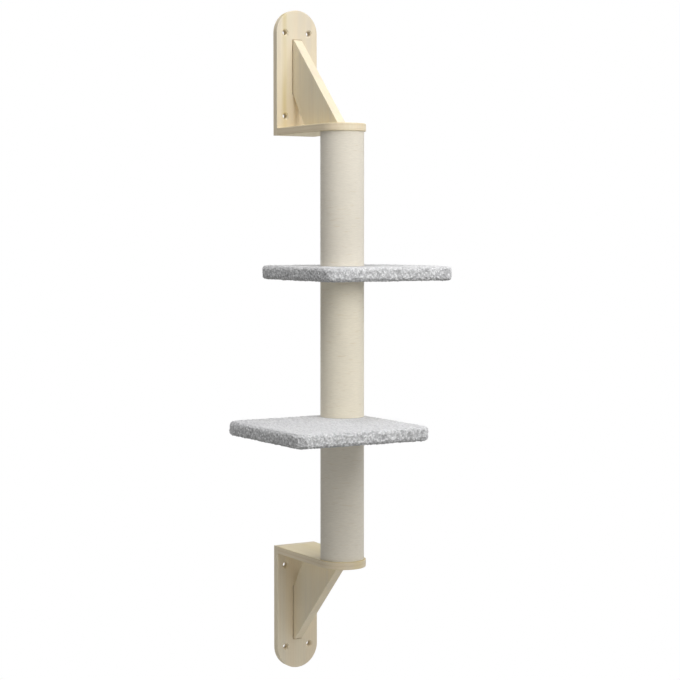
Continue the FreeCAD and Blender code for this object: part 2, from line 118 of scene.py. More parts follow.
class PlushSettings(bpy.types.PropertyGroup):
    # Painted highlight on the tips of the curls.
    tip_highlight: colour_property("Tips", "Tone of the curl tips", tint(243, 243, 244))
    # Painted shade in the hollows between the curls.
    root: colour_property("Roots", "Tone down between the curls", tint(138, 138, 140))
    curls: colour_property("Curls", "Main tone of the curls", tint(216, 216, 217))
    cloud: colour_property("Clouds", "Tone of the slightly darker patches", tint(206, 206, 208))
    # The top, facing up, keeps only this share of the painted shade and highlight of the curls.
    calm: FloatProperty(
        name="Calm", description="How much of the curls' contrast the top keeps", default=0.45, min=0
    )
    # Painted shade: pile that faces down, round the turned-under edge, is toned darker by this share.
    turned: FloatProperty(
        name="Turned", description="Tone of the pressed pile that is turned under", default=0.62, min=0
    )
    pile: length_property("Pile", "How far the curls stand out", 0.003)
    curl: length_property("Curl", "Size of a curl", 0.0036)
    grid: length_property("Grid", "Spacing of the modelled surface", 0.00112)
    corner: length_property("Corner", "Corner radius seen from above", 0.015)
    edge: length_property("Edge", "Radius of the wrapped edges", 0.007)
    pressed: length_property("Pressed", "Radius pressed flat under a post section", 0.0365)


class MetalSettings(bpy.types.PropertyGroup):
    zinc: colour_property("Zinc", "Tone of the plated steel", tint(196, 198, 201))
    dull: colour_property("Dull zinc", "Tone of its duller patches", tint(158, 160, 164))


class StageSettings(bpy.types.PropertyGroup):
    camera_place: FloatVectorProperty(
        name="Camera", description="Where the camera stands", default=(-1.4201, -2.58086, -0.25953),
        size=3, subtype="TRANSLATION", unit="LENGTH", precision=5,
    )
    camera_turn: FloatProperty(
        name="Turn", description="How far the camera turns from facing the wall",
        default=math.radians(-30.310), subtype="ANGLE", unit="ROTATION",
    )
    camera_tilt: FloatProperty(
        name="Tilt", description="How far the camera looks up from level, or down where negative",
        default=math.radians(-2.151), subtype="ANGLE", unit="ROTATION",
    )
    lens: FloatProperty(name="Lens", description="Focal length in millimetres", default=94.309, min=1)
    lift: FloatProperty(name="Shift", description="Vertical shift of the picture", default=-0.05882)
    floor_height: FloatProperty(
        name="Floor", description="Height of the floor", default=-1.3, subtype="DISTANCE", unit="LENGTH"
    )
    front_power: power_property("Front", "Power of the near front lamp", 6.9)
    high_power: power_property("High", "Power of the high front lamp", 15.5)
    left_power: power_property("Left", "Power of the lamp up on the left", 44)
    right_power: power_property("Right", "Power of the lamp on the right", 15.5)
    back_power: power_property("Back", "Power of the lamp behind", 3)
    sky: power_property("Sky", "Strength of the light all round", 0.2)


# ---------------------------------------------------------------- node helpers


def feed(tree, socket, value):
    """Links an output to the socket, or sets the value on it."""
    if isinstance(value, bpy.types.NodeSocket):
        tree.links.new(value, socket)
    elif socket.type == "RGBA" and len(value) == 3:
        socket.default_value = (*value, 1)
    else:
        socket.default_value = value


def add(tree, kind, inputs=None, **settings):
    """One shader node with its settings and inputs, {socket name or number: value or output}."""
    made = tree.nodes.new("ShaderNode" + kind)
    for name, value in settings.items():
        setattr(made, name, value)
    for name, value in (inputs or {}).items():
        feed(tree, made.inputs[name], value)
    return made


def maths(tree, operation, *values):
    return add(tree, "Math", dict(enumerate(values)), operation=operation).outputs[0]


def vectors(tree, operation, *values):
    return add(tree, "VectorMath", dict(enumerate(values)), operation=operation).outputs[0]


def blend(tree, share, first, second, way="MIX"):
    """first and second mixed by share."""
    mixer = add(tree, "Mix", {0: share, 6: first, 7: second}, data_type="RGBA", blend_type=way)
    return mixer.outputs[2]


def toned(tree, colour, *shares):
    """The colour times a grey share, or times a share each of red, green and blue."""
    red, green, blue = shares if len(shares) == 3 else shares * 3
    tones = add(tree, "CombineColor", {0: red, 1: green, 2: blue}).outputs[0]
    return blend(tree, 1.0, colour, tones, "MULTIPLY")


def span(tree, value, low, high, start=0.0, end=1.0):
    """value between low and high, eased to run from start to end."""
    inputs = {0: value, 1: low, 2: high, 3: start, 4: end}
    return add(tree, "MapRange", inputs, interpolation_type="SMOOTHSTEP").outputs[0]


def noise(tree, place, scale, detail=2.0, roughness=0.5):
    inputs = {"Vector": place, "Scale": scale, "Detail": detail, "Roughness": roughness}
    return add(tree, "TexNoise", inputs).outputs["Fac"]


def stretched(tree, place, shares):
    return vectors(tree, "MULTIPLY", place, shares)


def object_place(tree):
    return add(tree, "TexCoord").outputs["Object"]


def new_group(name, inputs, outputs):
    """A shader node group: inputs are {name: (socket type, default)} and outputs {name: socket type}."""
    tree = bpy.data.node_groups.new(name, "ShaderNodeTree")
    for label, (kind, default) in inputs.items():
        socket = tree.interface.new_socket(
            name=label, in_out="INPUT", socket_type="NodeSocket" + kind
        )
        socket.default_value = default
    for label, kind in outputs.items():
        tree.interface.new_socket(name=label, in_out="OUTPUT", socket_type="NodeSocket" + kind)
    return tree, tree.nodes.new("NodeGroupInput").outputs, tree.nodes.new("NodeGroupOutput").inputs


def use_group(tree, name, inputs):
    made = add(tree, "Group", node_tree=bpy.data.node_groups[name])
    for label, value in inputs.items():
        feed(tree, made.inputs[label], value)
    return made.outputs


def new_material(name, **values):
    """A material of one Principled shader, whose steady values are set on its own sockets."""
    made = bpy.data.materials.new(name)
    made.use_nodes = True
    tree = made.node_tree
    tree.nodes.clear()
    surface = add(tree, "BsdfPrincipled")
    add(tree, "OutputMaterial", {"Surface": surface.outputs[0]})
    for label, value in values.items():
        feed(tree, surface.inputs[label.replace("_", " ").title().replace("Ior", "IOR")], value)
    return made, tree, surface.inputs


def bump(tree, surface, height, distance, strength=1.0):
    made = add(tree, "Bump", {"Height": height, "Distance": distance, "Strength": strength})
    feed(tree, surface["Normal"], made.outputs[0])


# ---------------------------------------------------------------- shared effects


def make_wood_grain():
    """Grain along Z: broad bands, growth lines, fibres, and their height for a bump."""
    tree, given, put = new_group(
        "wood_grain",
        {"Position": ("Vector", (0, 0, 0)), "Offset": ("Vector", (0, 0, 0)),
         "Ring Spacing": ("Float", 0.006)},
        {"Bands": "Float", "Rings": "Float", "Fibres": "Float", "Height": "Float"},
    )
    place = vectors(tree, "ADD", given["Position"], given["Offset"])
    slow = stretched(tree, place, (1, 1, 0.08))
    warp = maths(tree, "MULTIPLY_ADD", noise(tree, slow, 16, 1), 0.03, -0.015)
    parts = add(tree, "SeparateXYZ", {0: place}).outputs
    across = maths(tree, "ADD", parts[0], warp)
    through = maths(tree, "ADD", parts[1], 0.055)
    squares = maths(
        tree, "ADD", maths(tree, "MULTIPLY", across, across), maths(tree, "MULTIPLY", through, through)
    )
    turns = maths(tree, "DIVIDE", maths(tree, "SQRT", squares), given["Ring Spacing"])
    phase = maths(tree, "FRACT", turns)
    rings = maths(
        tree, "MULTIPLY", span(tree, phase, 0.35, 0.9), span(tree, phase, 0.9, 1.0, 1.0, 0.0)
    )
    fibres = noise(tree, stretched(tree, place, (1, 1, 0.025)), 1500, 3, 0.6)
    bands = noise(tree, stretched(tree, place, (1, 0.5, 0.03)), 34, 1.5)
    feed(tree, put["Bands"], span(tree, bands, 0.33, 0.67))
    feed(tree, put["Rings"], rings)
    feed(tree, put["Fibres"], fibres)
    height = maths(tree, "MULTIPLY_ADD", rings, 0.35, maths(tree, "MULTIPLY", fibres, 0.65))
    feed(tree, put["Height"], height)


def make_edge_wear_and_highlight():
    """1 along outer edges and 0 on flat faces, broken up a little: where the boards get rubbed edges and a
    painted highlight.
    """
    tree, given, put = new_group(
        "edge_wear_and_highlight",
        {"Position": ("Vector", (0, 0, 0)), "Radius": ("Float", 0.0015)},
        {"WearAndHighlight": "Float"},
    )
    rounded = add(tree, "Bevel", {"Radius": given["Radius"]}, samples=6).outputs[0]
    flat = add(tree, "NewGeometry").outputs["Normal"]
    along = add(tree, "VectorMath", {0: rounded, 1: flat}, operation="DOT_PRODUCT").outputs["Value"]
    edge = span(tree, along, 0.75, 0.995, 1.0, 0.0)
    broken = span(tree, noise(tree, given["Position"], 160, 3), 0.35, 0.62)
    feed(tree, put["WearAndHighlight"], maths(tree, "MULTIPLY", edge, broken))


def make_board_edges():
    """Faint layers on the sides of a board whose thickness runs along Y."""
    tree, given, put = new_group(
        "board_edges",
        {"Position": ("Vector", (0, 0, 0)), "Normal": ("Vector", (0, 0, 1)), "Layer": ("Float", 0.0024)},
        {"Side": "Float", "Layers": "Float"},
    )
    facing = maths(tree, "ABSOLUTE", add(tree, "SeparateXYZ", {0: given["Normal"]}).outputs[1])
    side = span(tree, facing, 0.3, 0.6, 1.0, 0.0)
    depth = add(tree, "SeparateXYZ", {0: given["Position"]}).outputs[1]
    wobble = maths(tree, "MULTIPLY_ADD", noise(tree, given["Position"], 45, 1), 0.0008, -0.0004)
    level = maths(tree, "FRACT", maths(tree, "DIVIDE", maths(tree, "ADD", depth, wobble), given["Layer"]))
    line = maths(
        tree, "MULTIPLY", span(tree, level, 0.62, 0.86), span(tree, level, 0.9, 1.0, 1.0, 0.0)
    )
    feed(tree, put["Side"], side)
    feed(tree, put["Layers"], maths(tree, "MULTIPLY", line, side))


def make_round_post():
    """A place on a post section as (distance round it, height, distance from its axis)."""
    tree, given, put = new_group(
        "round_the_post",
        {"Position": ("Vector", (0, 0, 0)), "Axis X": ("Float", 0.0), "Axis Y": ("Float", 0.0)},
        {"Unrolled": "Vector", "Angle": "Float"},
    )
    parts = add(tree, "SeparateXYZ", {0: given["Position"]}).outputs
    sideways = maths(tree, "SUBTRACT", parts[0], given["Axis X"])
    forwards = maths(tree, "SUBTRACT", given["Axis Y"], parts[1])
    angle = maths(tree, "ARCTAN2", sideways, forwards)
    out = maths(
        tree, "SQRT",
        maths(tree, "ADD", maths(tree, "MULTIPLY", sideways, sideways),
              maths(tree, "MULTIPLY", forwards, forwards)),
    )
    unrolled = add(tree, "CombineXYZ", {0: maths(tree, "MULTIPLY", angle, out), 1: parts[2], 2: out})
    feed(tree, put["Unrolled"], unrolled.outputs[0])
    feed(tree, put["Angle"], angle)


def make_shared_effects():
    make_wood_grain()
    make_edge_wear_and_highlight()
    make_board_edges()
    make_round_post()


# ---------------------------------------------------------------- finishes

# The yellow streak in a bracket's plate and in its shelf: its place across the board, and half its width.
STREAKS = {"upper": ((-0.0225, 0.007), None), "lower": (None, (0.008, 0.02))}

# Painted light on the cloth of the top, middle and bottom section, as shares of red, green and blue: each
# section is toned lighter or darker, and the middle a little yellower, for how the light falls on it.
SECTION_LIGHT_TONES = ((0.92, 0.92, 0.93), (1.05, 1.04, 1.0), (0.97, 0.97, 0.98))

# How far a ply of the paperboard tube climbs in one turn.
PLY_CLIMB = 0.06

# Which way a board's length and thickness lie: the coordinates that stand for across, through, along.
UPRIGHT, LYING_OUT, STRUT = (0, 1, 2), (0, 2, 1), (1, 0, 2)


def board_place(tree, source, order):
    """A point or direction turned so that the board's thickness is Y and its grain Z."""
    parts = add(tree, "SeparateXYZ", {0: source}).outputs
    return add(tree, "CombineXYZ", {k: parts[order[k]] for k in range(3)}).outputs[0]


def pale_wood(name, order, offset, wood, warmth=0.5, layered=0.3, yellow=0.0, streak=None):
    """Smooth pale wood: grain, bands, yellow faces, layered sides, a streak (place, half its width)."""
    made, tree, surface = new_material(name, specular_ior_level=0.35)
    coordinates = add(tree, "TexCoord").outputs
    place = board_place(tree, coordinates["Object"], order)
    normal = board_place(tree, coordinates["Normal"], order)
    grain = use_group(
        tree, "wood_grain", {"Position": place, "Offset": offset, "Ring Spacing": wood.ring_spacing}
    )
    edges = use_group(
        tree, "board_edges", {"Position": place, "Normal": normal, "Layer": wood.ply_layer}
    )
    wear_and_highlight = use_group(
        tree, "edge_wear_and_highlight", {"Position": coordinates["Object"], "Radius": wood.wear_and_highlight_radius}
    )["WearAndHighlight"]
    colour = blend(tree, maths(tree, "MULTIPLY", grain["Bands"], warmth), wood.pale, wood.warm)
    slow = noise(tree, stretched(tree, vectors(tree, "ADD", place, offset), (1, 1, 0.05)), 60, 1)
    colour = blend(tree, span(tree, slow, 0.5, 0.75, 0.0, 0.6), colour, wood.cool)
    faces = maths(tree, "MULTIPLY_ADD", edges["Side"], -yellow, yellow)
    colour = blend(tree, faces, colour, wood.streak)
    if streak:
        middle, wide = streak
        parts = add(tree, "SeparateXYZ", {0: place}).outputs
        drift = maths(tree, "MULTIPLY_ADD", noise(tree, place, 9, 1), 0.006, -0.003 - middle)
        aside = maths(tree, "ABSOLUTE", maths(tree, "ADD", parts[0], drift))
        fading = span(tree, noise(tree, stretched(tree, place, (1, 1, 0.4)), 30, 1), 0.35, 0.6, 0.35, 0.8)
        mark = maths(tree, "MULTIPLY", span(tree, aside, 0.0, wide, 1.0, 0.0), fading)
        colour = blend(tree, mark, colour, wood.streak)
    colour = blend(tree, maths(tree, "MULTIPLY", grain["Rings"], 0.08), colour, wood.late)
    colour = blend(tree, maths(tree, "MULTIPLY", edges["Side"], 0.10), colour, wood.late)
    colour = blend(tree, maths(tree, "MULTIPLY", edges["Layers"], layered), colour, wood.late)
    colour = toned(tree, colour, span(tree, grain["Fibres"], 0.3, 0.7, 0.98, 1.012))
    # Edges lightened for wear and as a painted highlight.
    colour = blend(tree, maths(tree, "MULTIPLY", wear_and_highlight, 0.4), colour, tint(252, 243, 224))
    feed(tree, surface["Base Color"], colour)
    rough = maths(tree, "MULTIPLY_ADD", grain["Fibres"], 0.16, 0.46)
    feed(tree, surface["Roughness"], maths(tree, "MULTIPLY_ADD", edges["Side"], 0.15, rough))
    bump(tree, surface, grain["Height"], 0.00012, 0.5)
    return made


def unrolled_place(tree, axis):
    return use_group(
        tree, "round_the_post", {"Position": object_place(tree), "Axis X": axis[0], "Axis Y": axis[1]}
    )


def sisal_cloth(name, axis, cloth, painted_light_tone):
    """Flat woven sisal: painted shade in the valleys between the courses, straw fibres along the courses, a
    butted seam at the back.
    """
    made, tree, surface = new_material(
        name, specular_ior_level=0.25, sheen_weight=0.25, sheen_roughness=0.5
    )
    post = unrolled_place(tree, axis)
    relief = add(tree, "Attribute", attribute_name="relief").outputs["Fac"]
    streaks = noise(tree, stretched(tree, post["Unrolled"], (0.09, 1, 1)), 1300, 3, 0.6)
    stray = noise(tree, stretched(tree, post["Unrolled"], (0.12, 1, 1)), 420, 2, 0.5)
    patches = noise(tree, post["Unrolled"], 22, 2)
    # Painted shade in the valleys between the courses, following the relief.
    colour = blend(tree, span(tree, relief, 0.0, 0.75, 0.4, 0.0), cloth.yarn, cloth.shade)
    colour = blend(tree, span(tree, stray, 0.6, 0.8, 0.0, 0.5), colour, cloth.straw)
    slow = span(tree, patches, 0.3, 0.7, 0.985, 1.01)
    tone = maths(tree, "MULTIPLY", span(tree, streaks, 0.25, 0.75, 0.94, 1.04), slow)
    # The section's painted light tone multiplies the cloth's colour here.
    colour = toned(tree, colour, *(maths(tree, "MULTIPLY", tone, part) for part in painted_light_tone))
    feed(tree, surface["Base Color"], colour)
    feed(tree, surface["Roughness"], span(tree, streaks, 0.3, 0.7, 0.92, 0.74))
    bump(tree, surface, streaks, 0.00018, 0.6)
    return made


def grey_plush(name, plush):
    """Curly plush: painted highlights on the curl tips, painted shade between the curls and on the pile
    turned under, cloudy patches and a soft sheen.
    """
    made, tree, surface = new_material(
        name, specular_ior_level=0.2, sheen_weight=0.35, sheen_roughness=0.45,
        sheen_tint=tint(235, 236, 240),
    )
    place = object_place(tree)
    normal = add(tree, "SeparateXYZ", {0: add(tree, "TexCoord").outputs["Normal"]}).outputs
    # The sides get the full painted shade and highlight of the curls, the top only the calm share.
    aslant = span(tree, normal[2], 0.3, 0.9, 1.0, plush.calm)
    relief = add(tree, "Attribute", attribute_name="relief").outputs["Fac"]
    fibres = noise(tree, place, 1600, 3, 0.65)
    loops = add(
        tree, "TexNoise",
        {"Vector": place, "Scale": 520, "Detail": 1.0, "Roughness": 0.5, "Distortion": 1.4},
    ).outputs["Fac"]
    clumps = noise(tree, place, 140, 2)
    patches = noise(tree, place, 24, 2)
    colour = blend(tree, span(tree, patches, 0.35, 0.65, 0.0, 0.35), plush.curls, plush.cloud)
    colour = blend(tree, span(tree, clumps, 0.35, 0.7, 0.0, 0.3), colour, plush.cloud)
    # Painted shade between the curls, from the relief and from a finer loop pattern.
    gap_shade = maths(tree, "MULTIPLY", span(tree, relief, 0.0, 0.45, 0.5, 0.0), aslant)
    colour = blend(tree, gap_shade, colour, plush.root)
    gap_shade = maths(tree, "MULTIPLY", span(tree, loops, 0.34, 0.5, 0.32, 0.0), aslant)
    colour = blend(tree, gap_shade, colour, plush.root)
    # Painted highlight on the curl tips, following the relief.
    tips = maths(tree, "MULTIPLY", span(tree, relief, 0.46, 0.82, 0.0, 1.0), aslant)
    colour = blend(tree, tips, colour, plush.tip_highlight)
    # Painted shade on pile that faces downwards, by its normal.
    underside_shade = span(tree, normal[2], -0.85, -0.15, plush.turned, 1.0)
    tone = maths(tree, "MULTIPLY", span(tree, fibres, 0.3, 0.7, 0.9, 1.06), underside_shade)
    feed(tree, surface["Base Color"], toned(tree, colour, tone))
    feed(tree, surface["Roughness"], span(tree, fibres, 0.3, 0.7, 1.0, 0.86))
    height = maths(tree, "MULTIPLY_ADD", loops, 0.7, maths(tree, "MULTIPLY", fibres, 0.3))
    bump(tree, surface, height, 0.0012, 0.8)
    return made


def zinc_steel(name, metal):
    """Zinc plated steel with duller patches and fine turning marks."""
    made, tree, surface = new_material(name, metallic=1.0)
    place = object_place(tree)
    dull = span(tree, noise(tree, place, 260, 3), 0.4, 0.65)
    fine = noise(tree, stretched(tree, place, (1, 1, 8)), 1800, 2)
    feed(tree, surface["Base Color"], blend(tree, dull, metal.zinc, metal.dull))
    feed(tree, surface["Roughness"], span(tree, fine, 0.3, 0.7, 0.26, 0.42))
    bump(tree, surface, fine, 0.00003, 0.4)
    return made


def plain_wood(name, pale, dark, wood, order, spacing):
    """Sawn wood of an inner piece, with stronger growth lines than the planed boards."""
    made, tree, surface = new_material(name, specular_ior_level=0.3)
    place = board_place(tree, object_place(tree), order)
    grain = use_group(
        tree, "wood_grain", {"Position": place, "Offset": (0.31, 0.12, 0.4), "Ring Spacing": spacing}
    )
    colour = blend(tree, maths(tree, "MULTIPLY", grain["Rings"], 0.5), pale, dark)
    colour = blend(tree, maths(tree, "MULTIPLY", grain["Bands"], 0.3), colour, wood.late)
    feed(tree, surface["Base Color"], colour)
    feed(tree, surface["Roughness"], maths(tree, "MULTIPLY_ADD", grain["Fibres"], 0.2, 0.6))
    bump(tree, surface, grain["Height"], 0.0002, 0.6)
    return made


def paperboard(name, axis):
    """Spiral wound paperboard, with the edge of a ply at every turn up the tube."""
    made, tree, surface = new_material(name, specular_ior_level=0.2)
    post = unrolled_place(tree, axis)
    height = add(tree, "SeparateXYZ", {0: post["Unrolled"]}).outputs[1]
    climb = maths(tree, "DIVIDE", post["Angle"], 2 * math.pi)
    phase = maths(tree, "FRACT", maths(tree, "ADD", maths(tree, "DIVIDE", height, PLY_CLIMB), climb))
    seam = maths(tree, "MULTIPLY", span(tree, phase, 0.0, 0.012), span(tree, phase, 0.012, 0.024, 1.0, 0.0))
    pulp = noise(tree, post["Unrolled"], 700, 4, 0.6)
    colour = blend(tree, span(tree, pulp, 0.35, 0.65), tint(176, 148, 112), tint(156, 128, 94))
    colour = blend(tree, maths(tree, "MULTIPLY", seam, 0.6), colour, tint(96, 76, 54))
    feed(tree, surface["Base Color"], colour)
    feed(tree, surface["Roughness"], span(tree, pulp, 0.3, 0.7, 0.82, 0.95))
    bump(tree, surface, pulp, 0.0001, 0.5)
    return made


# ---------------------------------------------------------------- modelling helpers


def begin_alone():
    """Leaves edit mode and drops every selection, so that the next operator works on its own piece."""
    if bpy.context.object and bpy.context.object.mode != "OBJECT":
        bpy.ops.object.mode_set(mode="OBJECT")
    bpy.ops.object.select_all(action="DESELECT")


def pick(thing, test, kind="FACE"):
    """Selects the parts of the mesh in edit mode that pass the test."""
    bpy.ops.mesh.select_mode(type=kind)
    bpy.ops.mesh.select_all(action="DESELECT")
    shape = bmesh.from_edit_mesh(thing.data)
    parts = {"VERT": shape.verts, "EDGE": shape.edges, "FACE": shape.faces}[kind]
    chosen = [part for part in parts if test(part)]
    for part in chosen:
        part.select_set(True)
    shape.select_flush_mode()
    bmesh.update_edit_mesh(thing.data)
    if not chosen:
        raise RuntimeError(f"nothing of {thing.name} was found to shape")


def extrude(move=(0, 0, 0)):
    bpy.ops.mesh.extrude_region_move(TRANSFORM_OT_translate={"value": move})


def grow(shares, centre):
    bpy.ops.transform.resize(value=shares, center_override=tuple(centre))


def close_open_edges(thing):
    """Joins the two open edges by a wall, turns every face outward and leaves edit mode."""
    pick(thing, lambda edge: edge.is_boundary, "EDGE")
    bpy.ops.mesh.bridge_edge_loops()
    bpy.ops.mesh.select_all(action="SELECT")
    bpy.ops.mesh.normals_make_consistent(inside=False)
    bpy.ops.object.mode_set(mode="OBJECT")


def round_off(thing, low, high, radius):
    """Draws the selected points near the four upright corners of a box onto round corners."""
    shape = bmesh.from_edit_mesh(thing.data)
    for point in shape.verts:
        if not point.select:
            continue
        x = min(max(point.co.x, low.x + radius), high.x - radius)
        y = min(max(point.co.y, low.y + radius), high.y - radius)
        aside = Vector((point.co.x - x, point.co.y - y))
        if aside.x and aside.y:
            aside = aside.normalized() * radius
            point.co.x, point.co.y = x + aside.x, y + aside.y
    bmesh.update_edit_mesh(thing.data)


def add_modifier(thing, kind, name, **settings):
    """Adds a modifier, sets it and applies it."""
    made = thing.modifiers.new(name, kind)
    for label, value in settings.items():
        setattr(made, label, value)
    bpy.ops.object.modifier_apply(modifier=made.name)


def points_of(thing):
    found = np.empty(len(thing.data.vertices) * 3)
    thing.data.vertices.foreach_get("co", found)
    return found.reshape(-1, 3)


def write_relief(thing, heights):
    """Keeps how far each point stands out, 0 to 1, for the material to read."""
    attribute = thing.data.attributes.new("relief", "FLOAT", "POINT")
    attribute.data.foreach_set("value", np.clip(heights, 0, 1).astype(np.float32))


def finish_piece(thing, name, material, body, slot, *nodes):
    """Names the piece, gives it its finish and body, and hides the nodes that it stands for."""
    begin_alone()
    thing.name = thing.data.name = name
    thing.select_set(True)
    bpy.context.view_layer.objects.active = thing
    bpy.ops.object.transform_apply(location=True, rotation=True, scale=True)
    bpy.ops.object.shade_smooth()
    thing.data.materials.clear()
    thing.data.materials.append(material)
    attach(thing, body)
    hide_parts(*nodes)
    begin_alone()


def paint_node(name, material):
    """Gives a node of the frame its finish."""
    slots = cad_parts[name].data.materials
    if len(slots):
        for k in range(len(slots)):
            slots[k] = material
    else:
        slots.append(material)


def post_axis():
    low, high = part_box("top_post_sleeve")
    return (low + high) / 2


# ---------------------------------------------------------------- the post's covering


def woven_section(name, cloth):
    """One section's sisal cloth: two courses are shaped, repeated up the post, and closed inside."""
    low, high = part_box(f"{name}_post_sleeve")
    tube_low, tube_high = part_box(f"{name}_post_tube")
    axis = (low + high) / 2
    outside = (high.x - low.x) / 2
    inside = (tube_high.x - tube_low.x) / 2 + COVER_GAP
    valley = outside - cloth.rib_depth
    shoulder = valley + 0.75 * cloth.rib_depth
    course_steps = (valley, shoulder, outside, shoulder)
    pairs = round((high.z - low.z) / (2 * cloth.course_height))
    steps = 2 * len(course_steps)
    step = (high.z - low.z) / (steps * pairs)
    begin_alone()
    bpy.ops.mesh.primitive_circle_add(
        vertices=cloth.around, radius=valley, location=(axis.x, axis.y, low.z)
    )
    thing = bpy.context.object
    bpy.ops.object.transform_apply(location=True)
    bpy.ops.object.mode_set(mode="EDIT")
    bpy.ops.mesh.select_all(action="SELECT")
    for k in range(steps):
        now, then = course_steps[k % 4], course_steps[(k + 1) % 4]
        extrude((0, 0, step))
        grow((then / now, then / now, 1), axis)
    # Yarns are lifted at every other pair of points round a crest, and between those on the next crest.
    turn = 2 * math.pi / cloth.around
    for course in (0, 1):
        height = low.z + (4 * course + 2) * step

        def lifted(point):
            around = math.atan2(point.co.y - axis.y, point.co.x - axis.x) / turn
            return abs(point.co.z - height) < step / 3 and (round(around) + 2 * course) % 4 < 2

        pick(thing, lifted, "VERT")
        share = (outside + cloth.stitch_depth) / outside
        grow((share, share, 1), axis)
    bpy.ops.object.mode_set(mode="OBJECT")
    add_modifier(
        thing, "ARRAY", "courses", count=pairs, use_relative_offset=False, use_constant_offset=True,
        constant_offset_displace=(0, 0, steps * step), use_merge_vertices=True, merge_threshold=step / 10,
    )
    # The cloth's two edges meet in a straight butted seam at the back, towards the wall.
    seam_reach = 0.4 * MM
    bpy.ops.object.mode_set(mode="EDIT")
    pick(thing, lambda point: point.co.y > axis.y and abs(point.co.x - axis.x) < seam_reach, "VERT")
    share = 1 - cloth.seam_depth / outside
    grow((share, share, 1), axis)
    for end in (low.z, high.z):
        pick(thing, lambda point: abs(point.co.z - end) < step / 3, "VERT")
        bpy.ops.mesh.select_mode(type="EDGE")
        extrude()
        grow((inside / valley, inside / valley, 1), axis)
    close_open_edges(thing)
    out = np.linalg.norm(points_of(thing)[:, :2] - np.array(axis.xy), axis=1)
    write_relief(thing, (out - valley) / (cloth.rib_depth + cloth.stitch_depth))
    return thing


# ---------------------------------------------------------------- plush


def pile_texture(name, kind, size, **settings):
    made = bpy.data.textures.new(name, kind)
    made.noise_scale = size
    for label, value in settings.items():
        setattr(made, label, value)
    return made


def raise_pile(thing, axis, plush, height):
    """Raises curls over the piece, except where a post section presses it flat."""
    rising = 3 * MM
    levels = 8
    points = points_of(thing)
    out = np.linalg.norm(points[:, :2] - np.array([axis.x, axis.y]), axis=1)
    free = np.clip((out - plush.pressed) / rising, 0, 1)
    weights = thing.vertex_groups.new(name="free")
    nearest = np.round(free * levels).astype(int)
    for level in range(1, levels + 1):
        chosen = np.flatnonzero(nearest == level).tolist()
        if chosen:
            weights.add(chosen, level / levels, "REPLACE")
    normals = np.empty(len(points) * 3)
    thing.data.vertices.foreach_get("normal", normals)
    normals = normals.reshape(-1, 3)
    curls = pile_texture(
        "curls", "DISTORTED_NOISE", plush.curl, distortion=1.6,
        noise_basis="IMPROVED_PERLIN", noise_distortion="ORIGINAL_PERLIN",
    )
    tufts = pile_texture("tufts", "VORONOI", 1.15 * plush.curl, distance_metric="DISTANCE")
    folds = pile_texture("folds", "CLOUDS", 0.045, noise_depth=1)
    shared = {"texture_coords": "LOCAL", "direction": "NORMAL", "vertex_group": "free"}
    add_modifier(thing, "DISPLACE", "tufts", texture=tufts, strength=-0.6 * height, mid_level=0.45, **shared)
    add_modifier(thing, "DISPLACE", "curls", texture=curls, strength=0.4 * height, mid_level=0.5, **shared)
    heights = ((points_of(thing) - points) * normals).sum(axis=1)
    low, high = np.percentile(heights[free > 0.5], [2, 98])
    write_relief(thing, np.where(free > 0.1, (heights - low) / (high - low), 0.6))
    add_modifier(thing, "DISPLACE", "folds", texture=folds, strength=0.0012, mid_level=0.5, **shared)
    thing.vertex_groups.clear()
    for texture in (curls, tufts, folds):
        bpy.data.textures.remove(texture)


